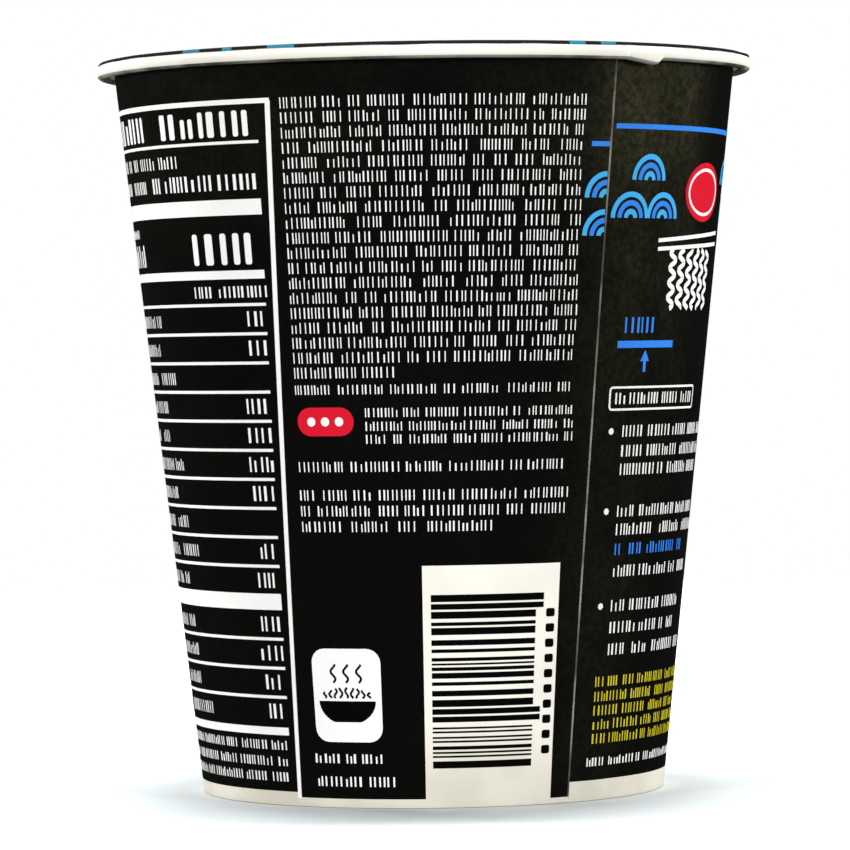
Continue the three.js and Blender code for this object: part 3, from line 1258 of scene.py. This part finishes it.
class NOODLECUP_OT_lid_print(bpy.types.Operator):
    """The print on top of the lid: rings, a bowl with noodles and steam, and lines of words"""

    bl_idname = "noodlecup.lid_print"
    bl_label = "Lid print"

    RINGS = ((38.6, 40.4), (37.0, 37.5))
    RING_STEPS = 180

    def execute(self, context):
        ink = context.scene.noodlecup_sizes.ink / MM
        top = LidTop(LID_TOP - LID_SINK + 0.2, ink)
        rng = random.Random(89)
        white = Print(top)
        yellow = Print(top)
        blue = Print(top)
        noodle_bowl(white, yellow, white, 0.0, -2.0, 17.0)
        for radii in self.RINGS:
            inner, outer = ([self.on_ring(radius, k) for k in range(self.RING_STEPS)] for radius in radii)
            blue.closed(inner, outer)
        white.text(-18.0, 18.0, -23.0, 1.6, 0.3, rng)
        white.text(-14.0, 14.0, -26.0, 1.4, 0.26, rng)
        white.piece("lid_white", "white")
        yellow.piece("lid_yellow", "yellow")
        blue.piece("lid_blue", "blue")
        return {"FINISHED"}

    def on_ring(self, radius, step):
        turn = math.tau * step / self.RING_STEPS
        return (radius * math.cos(turn), radius * math.sin(turn))


# The stage

CAMERA_PLACE = (0.0, -0.704084, 0.0648)
CAMERA_PITCH = 0.0165181
CAMERA_YAW = 0.000806
CAMERA_ROLL = 0.014
CAMERA_LENS = 203.18
SENSOR = 36.0
FLOOR_HALF = 0.6
FLOOR_COLOUR = (0.80, 0.85, 0.86, 1.0)
WORLD_SEEN = 1.0
WORLD_FILL = 0.3
WORLD_MIRRORED = 0.02
AIM = (0.0, 0.0, 0.05)

# Lights: place, power and size. The two high ones stand a little behind, so the shadow falls forward.
LIGHTS = {
    "high_left_light": ((-0.21, 0.165, 1.58), 19.0, 0.35),
    "high_right_light": ((0.21, 0.165, 1.58), 19.0, 0.35),
    "front_left_light": ((-1.92, -1.61, 0.35), 49.0, 0.6),
    "front_right_light": ((1.92, -1.61, 0.35), 49.0, 0.6),
    "back_left_light": ((-1.92, 1.61, 0.35), 49.0, 0.6),
    "back_right_light": ((1.92, 1.61, 0.35), 49.0, 0.6),
}


class NOODLECUP_OT_stage(bpy.types.Operator):
    """Pale floor, soft light and the camera"""

    bl_idname = "noodlecup.stage"
    bl_label = "Stage"

    def execute(self, context):
        scene = context.scene
        scene.view_settings.view_transform = "Standard"
        self.floor(scene)
        self.world(scene)
        for name, settings in LIGHTS.items():
            self.light(scene, name, *settings)
        self.camera(scene)
        return {"FINISHED"}

    def floor(self, scene):
        mesh = bpy.data.meshes.new("floor")
        corners = [(x * FLOOR_HALF, y * FLOOR_HALF, 0.0) for x, y in ((-1, -1), (1, -1), (1, 1), (-1, 1))]
        mesh.from_pydata(corners, [], [(0, 1, 2, 3)])
        floor = bpy.data.objects.new("floor", mesh)
        scene.collection.objects.link(floor)
        nodes, shader = new_material("pale_floor")
        shader.inputs["Base Color"].default_value = FLOOR_COLOUR
        shader.inputs["Roughness"].default_value = 0.9
        shader.inputs["Specular IOR Level"].default_value = 0.0
        mesh.materials.append(material("pale_floor"))
        floor.visible_diffuse = False
        floor.visible_glossy = False

    def world(self, scene):
        """A white backdrop that lights the cup softly and hardly mirrors in its coating."""
        world = bpy.data.worlds.new("studio")
        world.use_nodes = True
        world.cycles.sampling_method = "NONE"
        scene.world = world
        nodes = Nodes(world.node_tree)
        sky = world.node_tree.nodes["Background"]
        sky.inputs["Color"].default_value = (1.0, 1.0, 1.0, 1.0)
        path = nodes.add("ShaderNodeLightPath")
        seen = nodes.math("MULTIPLY", path.outputs["Is Camera Ray"], WORLD_SEEN - WORLD_FILL)
        mirrored = nodes.math("MULTIPLY", path.outputs["Is Glossy Ray"], WORLD_MIRRORED - WORLD_FILL)
        strength = nodes.math("ADD", nodes.math("ADD", seen, mirrored), WORLD_FILL)
        nodes.join(strength, sky.inputs["Strength"])

    def light(self, scene, name, place, power, size):
        """A soft light that isn't seen itself."""
        lamp = bpy.data.lights.new(name, "AREA")
        lamp.energy = power
        lamp.shape = "DISK"
        lamp.size = size
        made = bpy.data.objects.new(name, lamp)
        made.location = place
        made.rotation_euler = (Vector(AIM) - Vector(place)).to_track_quat("-Z", "Y").to_euler()
        made.visible_glossy = False
        made.visible_camera = False
        scene.collection.objects.link(made)

    def camera(self, scene):
        lens = bpy.data.cameras.new("camera")
        lens.sensor_width = SENSOR
        lens.lens = CAMERA_LENS
        lens.clip_start = 0.01
        lens.clip_end = 50.0
        camera = bpy.data.objects.new("camera", lens)
        level = Euler((math.pi / 2 - CAMERA_PITCH, 0.0, CAMERA_YAW)).to_matrix().to_4x4()
        camera.matrix_world = Matrix.Translation(CAMERA_PLACE) @ level @ Matrix.Rotation(-CAMERA_ROLL, 4, "Z")
        scene.collection.objects.link(camera)
        scene.camera = camera


OPERATORS = (
    NOODLECUP_OT_finishes,
    NOODLECUP_OT_paper_cup,
    NOODLECUP_OT_table_print,
    NOODLECUP_OT_lines_print,
    NOODLECUP_OT_bar_label,
    NOODLECUP_OT_ornament,
    NOODLECUP_OT_steps_print,
    NOODLECUP_OT_front_print,
    NOODLECUP_OT_peel_lid,
    NOODLECUP_OT_lid_print,
    NOODLECUP_OT_stage,
)


class NOODLECUP_PT_panel(bpy.types.Panel):
    """Pieces of the noodle cup"""

    bl_idname = "NOODLECUP_PT_panel"
    bl_label = "Noodle cup"
    bl_space_type = "VIEW_3D"
    bl_region_type = "UI"
    bl_category = "Noodle cup"

    def draw(self, context):
        for operator in OPERATORS:
            self.layout.operator(operator.bl_idname)
        for settings in (context.scene.noodlecup_sizes, context.scene.noodlecup_colours):
            box = self.layout.box()
            for name in settings.bl_rna.properties.keys():
                if name not in ("rna_type", "name"):
                    box.prop(settings, name)


CLASSES = (NOODLECUP_PG_sizes, NOODLECUP_PG_colours, *OPERATORS, NOODLECUP_PT_panel)


def register():
    for kind in CLASSES:
        bpy.utils.register_class(kind)
    bpy.types.Scene.noodlecup_sizes = bpy.props.PointerProperty(type=NOODLECUP_PG_sizes)
    bpy.types.Scene.noodlecup_colours = bpy.props.PointerProperty(type=NOODLECUP_PG_colours)


def unregister():
    del bpy.types.Scene.noodlecup_colours
    del bpy.types.Scene.noodlecup_sizes
    for kind in reversed(CLASSES):
        bpy.utils.unregister_class(kind)


def main():
    register()
    for operator in OPERATORS:
        family, name = operator.bl_idname.split(".")
        getattr(getattr(bpy.ops, family), name)()


if __name__ == "__main__":
    main()
